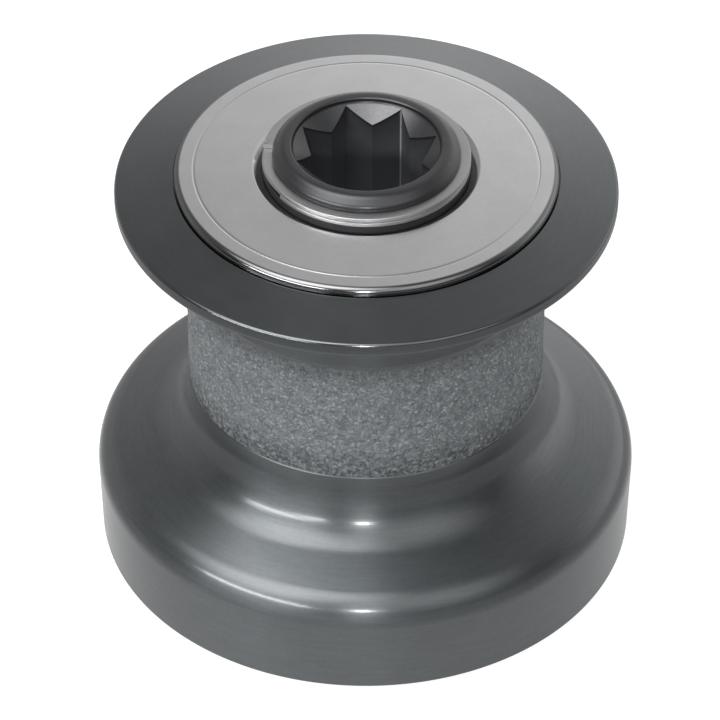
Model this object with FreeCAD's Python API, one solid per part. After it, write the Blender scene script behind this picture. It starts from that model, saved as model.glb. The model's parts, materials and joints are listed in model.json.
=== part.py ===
"""Single-speed, plain-top sailing winch, about 95 mm across the skirt and 83 mm tall.

The origin is the centre of the mounting face, with the drum's axis along +Z. Millimetres.
A bolted base carries the drum on two caged roller bearings. The spindle runs inside the stem,
takes a star-ended handle at the top and turns the drum clockwise through two pawls.
Two more pawls in the base stop the drum from running back.
"""
import FreeCAD, Part
import math
import os

from FreeCAD import Vector

# Fits and running clearances
press_gap = 0.02
run_gap = 0.1
pawl_gap = 0.3
flange_gap = 0.8
ratchet_gap = 0.5

# Drum, outside
deck_gap = 1.0
skirt_foot_r = 46.75
skirt_r = 47.27
skirt_h = 17.7
skirt_round = 5.8
skirt_foot_round = 0.4
shoulder_slope = 21.0
root_round = 10.0
barrel_r = 30.95
barrel_h = 53.1
band_depth = 0.25
band_foot_h = 9.8
band_head_h = 13.4
rim_r = 42.86
rim_t = 2.5
rim_foot_round = 0.8
rim_top_round = 0.6
flange_rise = 2.0

# Drum, inside
skirt_shelf_h = 9.0
ring_seat_r = 39.2
web_step_r = 33.2
drum_bore_r = 24.05
neck_wall = 1.0
neck_hole_gap = 0.4
spigot_r = 17.6
spigot_h = 2.3

# Top cap
cap_r = 32.75
cap_seat_d = 1.3
cap_t = 3.0
cap_round = 1.05
cap_hole_gap = 0.2
cap_dish_w = 2.6
cap_dish_d = 0.3
cap_line_r = 29.4
cap_line_w = 0.45
cap_line_d = 0.25

# Top washer and two-turn retaining ring
top_washer_t = 1.5
top_washer_r = 17.5
ring_groove_d = 0.9
ring_out_r = 17.7
ring_turn_t = 0.82
ring_turn_gap = 0.06
ring_edge = 0.14
ring_jog_start = 157.0
ring_jog = 39.0
ring_jog_steps = 8
ring_end_gap = 2.5
ring_notch_r = 0.7

# Spindle
handle_af = 17.6
star_depth = 28.85
chamber_h = 12.0
chamber_relief = 0.45
mouth_r = 12.75
mouth_edge_d = 0.77
mouth_round = 0.25
mouth_slope = 38.1
lip_h = 2.2
lip_side_h = 0.45
lip_side_round = 0.6
lip_crown_r = 13.95
lip_crown_round = 2.4
neck_r = 15.9
journal_r = 15.4
foot_journal_r = 9.0
carrier_r = 20.1
carrier_h = 9.4
carrier_roof = 1.2
foot_shoulder_gap = 3.0
drain_r = 3.0
foot_chamfer = 0.8

# Spindle circlip and washer
circlip_t = 1.2
circlip_w = 2.6
circlip_groove_d = 0.7
circlip_opening = 34.0
circlip_ear_r = 1.7
circlip_ear_inset = 1.2
circlip_ear_hole_r = 0.75
foot_tail = 2.6
foot_washer_t = 1.0
foot_washer_w = 5.0

# Base
base_flange_r = 43.6
base_flange_t = 5.0
mount_count = 5
mount_pcd = 74.0
mount_hole_r = 3.3
mount_head_r = 6.2
boss_r = 30.8
boss_floor_h = 4.0
stem_r = 19.05
foot_recess_r = 17.0
foot_recess_h = 12.0
web_t = 19.0
groove_in_r = 21.5
groove_out_r = 28.5
groove_h = 5.0
drain_slot_w = 5.0
drain_slot_h = 1.6

# Bushes
bush_wall = 1.4
foot_bush_wall = 1.5
neck_bush_wall = 2.0
neck_bush_flange_t = 0.9
neck_bush_flange_gap = 0.2

# Keeper plate, its screws and the thrust washers
keeper_t = 1.2
keeper_margin = 0.4
keeper_bore_gap = 0.5
screw_count = 4
screw_first_angle = 45.0
screw_circle_r = 22.6
screw_r = 1.5
screw_head_r = 2.5
screw_length = 8.0
screw_socket_r = 0.95
screw_socket_d = 0.7
lower_washer_t = 1.2
lower_washer_r = 29.5
thrust_washer_t = 0.95
thrust_washer_r = 22.5

# Roller bearings
roller_count = 16
roller_r = 2.4
bearing_h = 14.8
cage_wall = 2.6
cage_rim = 1.0
spacer_h = 3.4
spacer_margin = 0.5

# Base pawls and lower ratchet ring
base_pawl_count = 2
base_pawl_first_angle = 0.0
base_heel_r = 3.0
base_heel_circle_r = 26.4
base_pawl_l = 11.5
base_pawl_tip_t = 2.6
base_pawl_h = 8.0
base_pocket_room = 1.6
lower_teeth = 24
lower_crest_r = 32.6
lower_root_r = 35.4
lower_face_angle = -19.4

# Spindle pawls and upper ratchet ring
spindle_pawl_count = 2
spindle_pawl_first_angle = 67.5
spindle_heel_r = 2.2
spindle_heel_circle_r = 16.6
spindle_pawl_l = 8.5
spindle_pawl_tip_t = 1.9
spindle_pawl_margin = 0.2
spindle_pocket_room = 1.3
upper_teeth = 16
upper_crest_r = 20.5
upper_root_r = 22.7
upper_face_angle = -24.8

# Pawls and teeth, shared proportions
pawl_ride_gap = 0.3
pawl_tip_back = 0.3
pawl_mouth_angle = 78.0
pocket_end_gap = 1.0
tooth_floor_share = 0.35
tooth_ramp_share = 0.92
spring_t = 0.35
spring_seat_gap = 0.05
spring_crown_gap = 0.1
spring_height_share = 0.6
spring_from = 0.38
spring_crown = 0.68
spring_to = 0.98

# Heights, from the mounting face up
boss_top_z = base_flange_t + boss_floor_h + base_pawl_h
pawl_floor_z = base_flange_t + boss_floor_h
keeper_top_z = boss_top_z + keeper_t
lower_washer_top_z = keeper_top_z + lower_washer_t
drum_web_z = lower_washer_top_z + run_gap
lower_bearing_z = lower_washer_top_z + run_gap
spacer_z = lower_bearing_z + bearing_h + run_gap
upper_bearing_z = spacer_z + spacer_h + run_gap
stem_top_z = upper_bearing_z + bearing_h + run_gap
thrust_washer_z = stem_top_z
carrier_z = thrust_washer_z + thrust_washer_t + run_gap
carrier_top_z = carrier_z + carrier_h
deck_under_z = carrier_top_z + run_gap + neck_bush_flange_t
web_top_z = foot_recess_h + web_t
foot_washer_top_z = foot_recess_h - run_gap
circlip_top_z = foot_washer_top_z - foot_washer_t - run_gap
circlip_z = circlip_top_z - circlip_t
foot_z = circlip_z - foot_tail
lower_ratchet_top_z = boss_top_z + ratchet_gap
upper_ratchet_z = carrier_z + ratchet_gap

skirt_corner_z = deck_gap + skirt_h
flange_under_z = skirt_corner_z + barrel_h
rim_top_z = flange_under_z + rim_t
flange_top_z = rim_top_z + flange_rise
cap_seat_z = flange_top_z - cap_seat_d
cap_top_z = cap_seat_z + cap_t
spigot_top_z = cap_seat_z + spigot_h
neck_bush_top_z = cap_seat_z - neck_wall

top_washer_z = spigot_top_z + run_gap / 2
ring_z = top_washer_z + top_washer_t + run_gap
ring_h = 2 * ring_turn_t + ring_turn_gap
ring_groove_top_z = ring_z + ring_h + run_gap / 2
spindle_top_z = ring_groove_top_z + lip_h

# Radii that follow from the fits
neck_bush_r = neck_r + run_gap + neck_bush_wall
skirt_cavity_r = base_flange_r + flange_gap
stem_bore_r = journal_r + run_gap + bush_wall
foot_bore_r = foot_journal_r + run_gap + foot_bush_wall
pitch_r = (stem_r + drum_bore_r) / 2
groove_r = neck_r - ring_groove_d
circlip_groove_r = foot_journal_r - circlip_groove_d
star_corner_r = math.hypot(handle_af, handle_af) / 2
chamber_r = star_corner_r + chamber_relief
thrust_bore_r = journal_r + 2 * run_gap


def spot(radius, angle):
    """Point of the XY plane at a radius and an angle in degrees."""
    turn = math.radians(angle)
    return Vector(radius * math.cos(turn), radius * math.sin(turn), 0)


def rounded_wire(corners):
    """Closed wire through (point, rounding) corners, each turned by an arc of its rounding."""
    edges = []
    entries = []
    count = len(corners)
    for index, (point, rounding) in enumerate(corners):
        if not rounding:
            entries.append((point, point))
            continue
        back = (corners[index - 1][0] - point).normalize()
        onward = (corners[(index + 1) % count][0] - point).normalize()
        half = back.getAngle(onward) / 2
        reach = rounding / math.tan(half)
        inward = (back + onward).normalize()
        crown = point + inward * (rounding / math.sin(half) - rounding)
        start = point + back * reach
        end = point + onward * reach
        edges.append(Part.Arc(start, crown, end).toShape())
        entries.append((start, end))
    for index in range(count):
        leave = entries[index][1]
        arrive = entries[(index + 1) % count][0]
        if leave.distanceToPoint(arrive) > 1e-6:
            edges.append(Part.makeLine(leave, arrive))
    return Part.Wire(Part.__sortEdges__(edges))


def turned(corners):
    """Solid of revolution about Z from (radius, height) or (radius, height, rounding) corners."""
    placed = [(Vector(c[0], 0, c[1]), c[2] if len(c) > 2 else 0) for c in corners]
    section = Part.Face(rounded_wire(placed))
    return section.revolve(Vector(0, 0, 0), Vector(0, 0, 1), 360)


def tube(inner, outer, low, high):
    """Plain ring with a square section."""
    return turned([(inner, low), (outer, low), (outer, high), (inner, high)])


def rod(radius, low, high, centre=Vector(0, 0, 0)):
    """Upright cylinder."""
    return Part.makeCylinder(radius, high - low, centre + Vector(0, 0, low))


def prism(points, low, high):
    """Upright prism on a closed outline of points in the XY plane."""
    face = Part.Face(Part.makePolygon(points + [points[0]]))
    face.translate(Vector(0, 0, low))
    return face.extrude(Vector(0, 0, high - low))


def turned_by(shape, angle):
    """Copy of a shape turned about Z."""
    copy = shape.copy()
    copy.rotate(Vector(0, 0, 0), Vector(0, 0, 1), angle)
    return copy


def circle_of(shape, count, first_angle=0.0):
    """Copies of a shape evenly spaced about Z."""
    return [turned_by(shape, first_angle + index * 360.0 / count) for index in range(count)]


def drum():
    """Skirt, shoulder, waist with the recessed grip band, top flange and the deck with its spigot."""
    horn_round = rim_r - rim_foot_round - barrel_r
    shoulder_z = skirt_corner_z + (skirt_r - barrel_r) * math.tan(math.radians(shoulder_slope))
    band_low = shoulder_z + band_foot_h
    band_high = flange_under_z - band_head_h
    band_r = barrel_r - band_depth
    cap_seat_r = cap_r + cap_hole_gap
    neck_hole_r = neck_r + neck_hole_gap
    outside = [
        (skirt_cavity_r, deck_gap),
        (skirt_foot_r, deck_gap, skirt_foot_round),
        (skirt_r, skirt_corner_z, skirt_round),
        (barrel_r, shoulder_z, root_round),
        (barrel_r, band_low),
        (band_r, band_low + band_depth),
        (band_r, band_high - band_depth),
        (barrel_r, band_high),
        (barrel_r, flange_under_z, horn_round),
        (rim_r, flange_under_z, rim_foot_round),
        (rim_r, rim_top_z, rim_top_round),
        (cap_seat_r, flange_top_z),
    ]
    inside = [
        (cap_seat_r, cap_seat_z),
        (spigot_r, cap_seat_z),
        (spigot_r, spigot_top_z),
        (neck_hole_r, spigot_top_z),
        (neck_hole_r, neck_bush_top_z),
        (neck_bush_r, neck_bush_top_z),
        (neck_bush_r, deck_under_z),
        (drum_bore_r, deck_under_z),
        (drum_bore_r, drum_web_z),
        (web_step_r, drum_web_z),
        (web_step_r, lower_ratchet_top_z),
        (ring_seat_r, lower_ratchet_top_z),
        (ring_seat_r, skirt_shelf_h),
        (skirt_cavity_r, skirt_shelf_h),
    ]
    return turned(outside + inside)


def ratchet_ring(outer_r, teeth, crest_r, root_r, face_angle, low, high):
    """Ring with inward saw teeth: a radial face, a floor, then a ramp up to the crest."""
    pitch = 360.0 / teeth
    points = []
    for tooth in range(teeth):
        angle = face_angle + tooth * pitch
        points.append(spot(root_r, angle))
        points.append(spot(root_r, angle + tooth_floor_share * pitch))
        points.append(spot(crest_r, angle + tooth_ramp_share * pitch))
        points.append(spot(crest_r, angle + pitch))
    return rod(outer_r - press_gap, low, high).cut(prism(points, low, high))


def lower_ratchet_ring():
    """Runs round the base pawls."""
    return ratchet_ring(ring_seat_r, lower_teeth, lower_crest_r, lower_root_r, lower_face_angle,
                        skirt_shelf_h, lower_ratchet_top_z)


def upper_ratchet_ring():
    """Runs round the spindle pawls, up against the drum's deck."""
    face_angle = upper_face_angle + spindle_pawl_first_angle
    return ratchet_ring(drum_bore_r, upper_teeth, upper_crest_r, upper_root_r, face_angle,
                        upper_ratchet_z, deck_under_z)


def top_cap():
    """Disc with a rounded edge, a dish round its hole and a fine engraved ring."""
    hole_r = spigot_r + cap_hole_gap
    line_in = cap_line_r - cap_line_w / 2
    line_out = cap_line_r + cap_line_w / 2
    return turned([
        (hole_r, cap_seat_z),
        (cap_r, cap_seat_z),
        (cap_r, cap_top_z, cap_round),
        (line_out, cap_top_z),
        (cap_line_r, cap_top_z - cap_line_d),
        (line_in, cap_top_z),
        (hole_r + cap_dish_w, cap_top_z),
        (hole_r, cap_top_z - cap_dish_d),
    ])


def ring_section(angle, low):
    """Flat wire of the retaining ring, with its corners broken, at one angle and height."""
    inner = groove_r + run_gap / 2
    outer = ring_out_r
    high = low + ring_turn_t
    corners = [
        (inner, low), (outer - ring_edge, low), (outer, low + ring_edge),
        (outer, high - ring_edge), (outer - ring_edge, high), (inner, high),
    ]
    points = [Vector(r, 0, z) for r, z in corners]
    wire = Part.makePolygon(points + [points[0]])
    wire.rotate(Vector(0, 0, 0), Vector(0, 0, 1), angle)
    return wire


def ring_turn(low, start, sweep):
    """One flat turn of the retaining ring."""
    face = Part.Face(ring_section(start, low))
    return face.revolve(Vector(0, 0, 0), Vector(0, 0, 1), sweep)


def retaining_ring():
    """Two-turn spiral ring: a flat turn, a jog up, and a second flat turn with a removal notch."""
    rise = ring_turn_t + ring_turn_gap
    jog_end = ring_jog_start + ring_jog
    sweep = 360.0 - ring_jog - ring_end_gap
    lower_turn = ring_turn(ring_z, jog_end + ring_end_gap, sweep)
    upper_turn = ring_turn(ring_z + rise, jog_end, sweep)
    shares = [step / ring_jog_steps for step in range(ring_jog_steps + 1)]
    sections = [
        ring_section(ring_jog_start + ring_jog * share, ring_z + rise * share) for share in shares
    ]
    jog = Part.makeLoft(sections, True, True)
    notch_spot = spot(ring_out_r, jog_end + sweep - ring_end_gap)
    notch = rod(ring_notch_r, ring_z + rise, ring_z + 2 * rise, notch_spot)
    return lower_turn.fuse([jog, upper_turn.cut(notch)])


def star_prism(low, high):
    """Two squares, one turned by 45 degrees: the standard star of a winch handle."""
    half = handle_af / 2
    square = Part.makeBox(handle_af, handle_af, high - low, Vector(-half, -half, low))
    return square.fuse(turned_by(square, 45))


def pawl_rest_angle(heel_circle_r, length, crest_r):
    """Angle of a pawl whose tip rides pawl_ride_gap inside the crests, from its heel's radius."""
    tip_r = crest_r - pawl_ride_gap
    cosine = (tip_r ** 2 - heel_circle_r ** 2 - length ** 2) / (2 * heel_circle_r * length)
    return -math.degrees(math.acos(cosine))


def tangent_angle(point, radius, side):
    """Angle at which a line from a point touches a circle round the origin."""
    bearing = math.degrees(math.atan2(point.y, point.x))
    return bearing + side * math.degrees(math.acos(radius / point.Length))


def pawl_blank(heel_r, length, tip_t, low, high):
    """Pawl along +X with its round heel at the origin and its outer tip corner at (length, 0)."""
    tip = Vector(length, 0, 0)
    under_tip = Vector(length - pawl_tip_back, -tip_t, 0)
    top_touch = spot(heel_r, tangent_angle(tip, heel_r, 1))
    under_touch = spot(heel_r, tangent_angle(under_tip, heel_r, -1))
    edges = [
        Part.makeLine(tip, top_touch),
        Part.Arc(top_touch, Vector(-heel_r, 0, 0), under_touch).toShape(),
        Part.makeLine(under_touch, under_tip),
        Part.makeLine(under_tip, tip),
    ]
    face = Part.Face(Part.Wire(edges))
    face.translate(Vector(0, 0, low))
    return face.extrude(Vector(0, 0, high - low))


def pocket_blank(heel_r, length, tip_t, room, low, high):
    """Room for a pawl: a round seat for its heel and a mouth that opens outwards."""
    seat_r = heel_r + pawl_gap
    reach = 2 * length
    end = length + pocket_end_gap
    mouth = prism([
        Vector(0, 0, 0),
        Vector(0, -seat_r, 0),
        Vector(end, -tip_t - room, 0),
        Vector(end, reach, 0),
        spot(reach, pawl_mouth_angle),
    ], low, high)
    return rod(seat_r, low, high).fuse(mouth)


def spring_blank(heel_r, length, tip_t, room, low, high):
    """Bowed leaf between the pocket's wall and the pawl's inner side."""
    seat_r = heel_r + pawl_gap
    end = length + pocket_end_gap

    def wall_y(x):
        return -seat_r - (tip_t + room - seat_r) * x / end

    def pawl_y(x):
        return -heel_r - (tip_t - heel_r) * x / length

    start_x = spring_from * length
    crown_x = spring_crown * length
    stop_x = spring_to * length
    foot = Vector(start_x, wall_y(start_x) + spring_seat_gap, 0)
    toe = Vector(stop_x, wall_y(stop_x) + spring_seat_gap, 0)
    crown = Vector(crown_x, pawl_y(crown_x) - spring_crown_gap, 0)
    thick = Vector(0, spring_t, 0)
    edges = [
        Part.Arc(foot, crown - thick, toe).toShape(),
        Part.makeLine(toe, toe + thick),
        Part.Arc(toe + thick, crown, foot + thick).toShape(),
        Part.makeLine(foot + thick, foot),
    ]
    face = Part.Face(Part.Wire(edges))
    face.translate(Vector(0, 0, low))
    return face.extrude(Vector(0, 0, high - low))


def at_heel(blank, heel_circle_r, rest_angle, seat_angle):
    """Puts a pawl, pocket or spring at its heel's place, turned to the rest angle."""
    placed = turned_by(blank, rest_angle)
    placed.translate(Vector(heel_circle_r, 0, 0))
    return turned_by(placed, seat_angle)


def seat_angles(count, first_angle):
    """Angles of the pawls about the axis."""
    return [first_angle + index * 360.0 / count for index in range(count)]


base_rest_angle = pawl_rest_angle(base_heel_circle_r, base_pawl_l, lower_crest_r)
spindle_rest_angle = pawl_rest_angle(spindle_heel_circle_r, spindle_pawl_l, upper_crest_r)
base_seats = seat_angles(base_pawl_count, base_pawl_first_angle)
spindle_seats = seat_angles(spindle_pawl_count, spindle_pawl_first_angle)
spindle_pocket_top_z = carrier_top_z - carrier_roof


def base_pawl(seat_angle):
    """Stops the drum against the lower ratchet ring."""
    blank = pawl_blank(base_heel_r, base_pawl_l, base_pawl_tip_t,
                       pawl_floor_z + run_gap, boss_top_z - run_gap)
    return at_heel(blank, base_heel_circle_r, base_rest_angle, seat_angle)


def base_pawl_pocket(seat_angle):
    """Open at the top of the boss, where the keeper plate closes it."""
    blank = pocket_blank(base_heel_r, base_pawl_l, base_pawl_tip_t, base_pocket_room,
                         pawl_floor_z, boss_top_z)
    return at_heel(blank, base_heel_circle_r, base_rest_angle, seat_angle)


def base_pawl_spring(seat_angle):
    """Pushes a base pawl outwards."""
    middle = (pawl_floor_z + boss_top_z) / 2
    half = spring_height_share * base_pawl_h / 2
    blank = spring_blank(base_heel_r, base_pawl_l, base_pawl_tip_t, base_pocket_room,
                         middle - half, middle + half)
    return at_heel(blank, base_heel_circle_r, base_rest_angle, seat_angle)


def spindle_pawl(seat_angle):
    """Drives the upper ratchet ring. It stands just over the thrust washer."""
    blank = pawl_blank(spindle_heel_r, spindle_pawl_l, spindle_pawl_tip_t,
                       carrier_z + spindle_pawl_margin, spindle_pocket_top_z - spindle_pawl_margin)
    return at_heel(blank, spindle_heel_circle_r, spindle_rest_angle, seat_angle)


def spindle_pawl_pocket(seat_angle):
    """Open at the carrier's underside, where the thrust washer closes it."""
    blank = pocket_blank(spindle_heel_r, spindle_pawl_l, spindle_pawl_tip_t, spindle_pocket_room,
                         carrier_z, spindle_pocket_top_z)
    return at_heel(blank, spindle_heel_circle_r, spindle_rest_angle, seat_angle)


def spindle_pawl_spring(seat_angle):
    """Pushes a spindle pawl outwards."""
    middle = (carrier_z + spindle_pocket_top_z) / 2
    half = spring_height_share * (spindle_pocket_top_z - carrier_z) / 2
    blank = spring_blank(spindle_heel_r, spindle_pawl_l, spindle_pawl_tip_t, spindle_pocket_room,
                         middle - half, middle + half)
    return at_heel(blank, spindle_heel_circle_r, spindle_rest_angle, seat_angle)


def keeper_screw_body(grow):
    """Countersunk screw of the keeper plate, or its hole where grow is a clearance."""
    shank_r = screw_r + grow
    head_r = screw_head_r + grow
    head_top = keeper_top_z
    head_low = keeper_top_z - (screw_head_r - screw_r)
    blank = turned([
        (0, head_top - screw_length - grow),
        (shank_r, head_top - screw_length - grow),
        (shank_r, head_low),
        (head_r, head_top),
        (0, head_top),
    ])
    blank.translate(Vector(screw_circle_r, 0, 0))
    return blank


def keeper_screws():
    """The screws as separate solids in one group."""
    hexagon = prism([spot(screw_socket_r, 60.0 * k) for k in range(6)],
                    keeper_top_z - screw_socket_d, keeper_top_z)
    hexagon.translate(Vector(screw_circle_r, 0, 0))
    screw = keeper_screw_body(0).cut(hexagon)
    return Part.makeCompound(circle_of(screw, screw_count, screw_first_angle))


def keeper_holes():
    """Screw holes through the plate and into the boss."""
    return circle_of(keeper_screw_body(press_gap), screw_count, screw_first_angle)


def pawl_keeper():
    """Ring plate that closes the base pawl pockets."""
    plate = tube(stem_r + keeper_bore_gap, boss_r - keeper_margin, boss_top_z, keeper_top_z)
    return plate.cut(keeper_holes())


def mount_hole():
    """Countersunk hole for one deck bolt."""
    sink_z = base_flange_t - (mount_head_r - mount_hole_r)
    hole = turned([
        (0, 0),
        (mount_hole_r, 0),
        (mount_hole_r, sink_z),
        (mount_head_r, base_flange_t),
        (0, base_flange_t),
    ])
    hole.translate(Vector(mount_pcd / 2, 0, 0))
    return hole


def drain_slot():
    """Channel in the underside, from the middle recess out to the edge."""
    length = base_flange_r
    return Part.makeBox(length, drain_slot_w, drain_slot_h, Vector(0, -drain_slot_w / 2, 0))


def base():
    """Bolted flange, pawl boss and stem, bored for the spindle's two bushes."""
    body = turned([
        (foot_recess_r, 0),
        (base_flange_r, 0),
        (base_flange_r, base_flange_t),
        (boss_r, base_flange_t),
        (boss_r, boss_top_z),
        (stem_r, boss_top_z),
        (stem_r, stem_top_z),
        (stem_bore_r, stem_top_z),
        (stem_bore_r, web_top_z),
        (foot_bore_r, web_top_z),
        (foot_bore_r, foot_recess_h),
        (foot_recess_r, foot_recess_h),
    ])
    cuts = [tube(groove_in_r, groove_out_r, 0, groove_h)]
    cuts += circle_of(mount_hole(), mount_count)
    cuts += circle_of(drain_slot(), mount_count, 180.0 / mount_count)
    cuts += keeper_holes()
    cuts += [base_pawl_pocket(angle) for angle in base_seats]
    return body.cut(cuts)


def foot_bush():
    """Plain bush of the spindle's lower journal."""
    return tube(foot_journal_r + run_gap, foot_bore_r - press_gap, foot_recess_h, web_top_z)


def stem_bush():
    """Plain bush of the spindle's middle journal."""
    return tube(journal_r + run_gap, stem_bore_r - press_gap, web_top_z, stem_top_z)


def neck_bush():
    """Flanged bush in the drum's deck, round the spindle's neck."""
    bore = neck_r + run_gap
    flange_r = upper_crest_r - neck_bush_flange_gap
    return turned([
        (bore, deck_under_z - neck_bush_flange_t),
        (flange_r, deck_under_z - neck_bush_flange_t),
        (flange_r, deck_under_z),
        (neck_bush_r - press_gap, deck_under_z),
        (neck_bush_r - press_gap, neck_bush_top_z),
        (bore, neck_bush_top_z),
    ])


def spindle():
    """Journals, pawl carrier, grooved neck and rounded lip, with the star socket down its middle."""
    groove_low = circlip_z - run_gap / 2
    groove_high = circlip_top_z + run_gap / 2
    shoulder_z = web_top_z + foot_shoulder_gap
    mouth_edge_z = spindle_top_z - mouth_edge_d
    cone_r = handle_af / 2
    cone_z = mouth_edge_z - (mouth_r - cone_r) * math.tan(math.radians(mouth_slope))
    chamber_top_z = spindle_top_z - star_depth
    chamber_z = chamber_top_z - chamber_h
    body = turned([
        (0, foot_z),
        (foot_journal_r - foot_chamfer, foot_z),
        (foot_journal_r, foot_z + foot_chamfer),
        (foot_journal_r, groove_low),
        (circlip_groove_r, groove_low),
        (circlip_groove_r, groove_high),
        (foot_journal_r, groove_high),
        (foot_journal_r, shoulder_z),
        (journal_r, shoulder_z),
        (journal_r, carrier_z),
        (carrier_r, carrier_z),
        (carrier_r, carrier_top_z),
        (neck_r, carrier_top_z),
        (neck_r, ring_z - run_gap / 2),
        (groove_r, ring_z - run_gap / 2),
        (groove_r, ring_groove_top_z),
        (neck_r, ring_groove_top_z),
        (neck_r, ring_groove_top_z + lip_side_h, lip_side_round),
        (lip_crown_r, spindle_top_z, lip_crown_round),
        (mouth_r, spindle_top_z, mouth_round),
        (mouth_r, mouth_edge_z),
        (cone_r, cone_z),
        (0, cone_z),
    ])
    cuts = [
        star_prism(chamber_top_z, spindle_top_z),
        rod(chamber_r, chamber_z, chamber_top_z),
        rod(drain_r, foot_z, chamber_z),
    ]
    cuts += [spindle_pawl_pocket(angle) for angle in spindle_seats]
    return body.cut(cuts)


def spindle_washer():
    """Bears on the base web from below."""
    inner = foot_journal_r + 2 * run_gap
    return tube(inner, inner + foot_washer_w, foot_washer_top_z - foot_washer_t, foot_washer_top_z)


def spindle_circlip():
    """Open ring in the spindle's foot groove, with two eared ends."""
    inner = circlip_groove_r + run_gap / 2
    outer = inner + circlip_w
    half = circlip_opening / 2
    opening = prism([Vector(0, 0, 0), spot(2 * outer, -half), spot(2 * outer, half)],
                    circlip_z, circlip_top_z)
    ear_angle = half + math.degrees(circlip_ear_inset / outer)
    ears = [spot(outer, side * ear_angle) for side in (-1, 1)]
    ring = tube(inner, outer, circlip_z, circlip_top_z).cut(opening)
    ring = ring.fuse([rod(circlip_ear_r, circlip_z, circlip_top_z, ear) for ear in ears])
    return ring.cut([rod(circlip_ear_hole_r, circlip_z, circlip_top_z, ear) for ear in ears])


def bearing_cage(low):
    """Cage with a round pocket for each roller."""
    inner = pitch_r - cage_wall / 2
    outer = pitch_r + cage_wall / 2
    pocket = rod(roller_r + run_gap, low + cage_rim, low + bearing_h - cage_rim,
                 Vector(pitch_r, 0, 0))
    return tube(inner, outer, low, low + bearing_h).cut(circle_of(pocket, roller_count))


def bearing_rollers(low):
    """The rollers of one bearing as separate solids in one group."""
    roller = rod(roller_r, low + cage_rim + run_gap, low + bearing_h - cage_rim - run_gap,
                 Vector(pitch_r, 0, 0))
    return Part.makeCompound(circle_of(roller, roller_count))


def bearing_spacer():
    """Keeps the two bearings apart on the stem."""
    return tube(stem_r + run_gap, drum_bore_r - spacer_margin, spacer_z, spacer_z + spacer_h)


def lower_thrust_washer():
    """Lies on the keeper plate, under the drum's web and the lower bearing."""
    return tube(stem_r + keeper_bore_gap, lower_washer_r, keeper_top_z, lower_washer_top_z)


def spindle_thrust_washer():
    """Lies on the stem, under the spindle's pawl carrier."""
    return tube(thrust_bore_r, thrust_washer_r, thrust_washer_z, thrust_washer_z + thrust_washer_t)


def top_washer():
    """Lies between the drum's spigot and the retaining ring."""
    return tube(neck_r + run_gap, top_washer_r, top_washer_z, top_washer_z + top_washer_t)


parts = {
    "base": base(),
    "foot_bush": foot_bush(),
    "stem_bush": stem_bush(),
    "pawl_keeper": pawl_keeper(),
    "keeper_screws": keeper_screws(),
    "lower_thrust_washer": lower_thrust_washer(),
    "bearing_spacer": bearing_spacer(),
    "spindle_thrust_washer": spindle_thrust_washer(),
    "lower_bearing_cage": bearing_cage(lower_bearing_z),
    "lower_bearing_rollers": bearing_rollers(lower_bearing_z),
    "upper_bearing_cage": bearing_cage(upper_bearing_z),
    "upper_bearing_rollers": bearing_rollers(upper_bearing_z),
    "spindle": spindle(),
    "spindle_washer": spindle_washer(),
    "spindle_circlip": spindle_circlip(),
    "top_washer": top_washer(),
    "retaining_ring": retaining_ring(),
    "drum": drum(),
    "lower_ratchet_ring": lower_ratchet_ring(),
    "upper_ratchet_ring": upper_ratchet_ring(),
    "neck_bush": neck_bush(),
    "top_cap": top_cap(),
}
for number, seat in enumerate(base_seats, start=1):
    parts["base_pawl_%d" % number] = base_pawl(seat)
    parts["base_pawl_spring_%d" % number] = base_pawl_spring(seat)
for number, seat in enumerate(spindle_seats, start=1):
    parts["spindle_pawl_%d" % number] = spindle_pawl(seat)
    parts["spindle_pawl_spring_%d" % number] = spindle_pawl_spring(seat)

os.makedirs("parts", exist_ok=True)
for name, shape in parts.items():
    shape.exportStep("parts/%s.step" % name)
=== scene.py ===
"""Looks of a plain-top sailing winch: dressed surfaces, finishes, studio lights and camera.

Lengths are named in millimetres from the centre of the mounting face, with the drum's axis along +Z.
They become metres when a mesh, a lamp or the camera is made. Angles are named in degrees.
"""
import json
import math

import bpy
import numpy as np
from mathutils import Euler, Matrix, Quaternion, Vector


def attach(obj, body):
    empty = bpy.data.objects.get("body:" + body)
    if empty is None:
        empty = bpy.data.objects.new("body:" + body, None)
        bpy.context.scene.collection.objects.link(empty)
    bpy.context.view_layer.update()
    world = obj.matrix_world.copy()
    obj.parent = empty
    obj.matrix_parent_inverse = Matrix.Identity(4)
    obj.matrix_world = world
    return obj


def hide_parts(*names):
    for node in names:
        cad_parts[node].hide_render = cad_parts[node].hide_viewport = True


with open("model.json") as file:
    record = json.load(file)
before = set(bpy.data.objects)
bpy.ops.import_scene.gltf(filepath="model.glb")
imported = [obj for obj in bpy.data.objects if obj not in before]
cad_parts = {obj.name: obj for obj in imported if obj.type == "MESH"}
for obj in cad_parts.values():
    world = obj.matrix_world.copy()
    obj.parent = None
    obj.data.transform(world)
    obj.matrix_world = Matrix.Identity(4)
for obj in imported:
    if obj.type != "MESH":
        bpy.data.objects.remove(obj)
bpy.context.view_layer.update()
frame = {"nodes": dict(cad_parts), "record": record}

# Scale
MM = 0.001
MICRON = 0.001 * MM

# Drum, outside
deck_gap = 1.0
skirt_foot_r = 46.75
skirt_r = 47.27
skirt_corner_z = 18.7
skirt_round = 5.8
skirt_foot_round = 0.4
shoulder_slope = 21.0
root_round = 10.0
barrel_r = 30.95
flange_under_z = 71.8
rim_r = 42.86
rim_top_z = 74.3
rim_foot_round = 0.8
rim_top_round = 0.6
flange_top_z = 76.3

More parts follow.
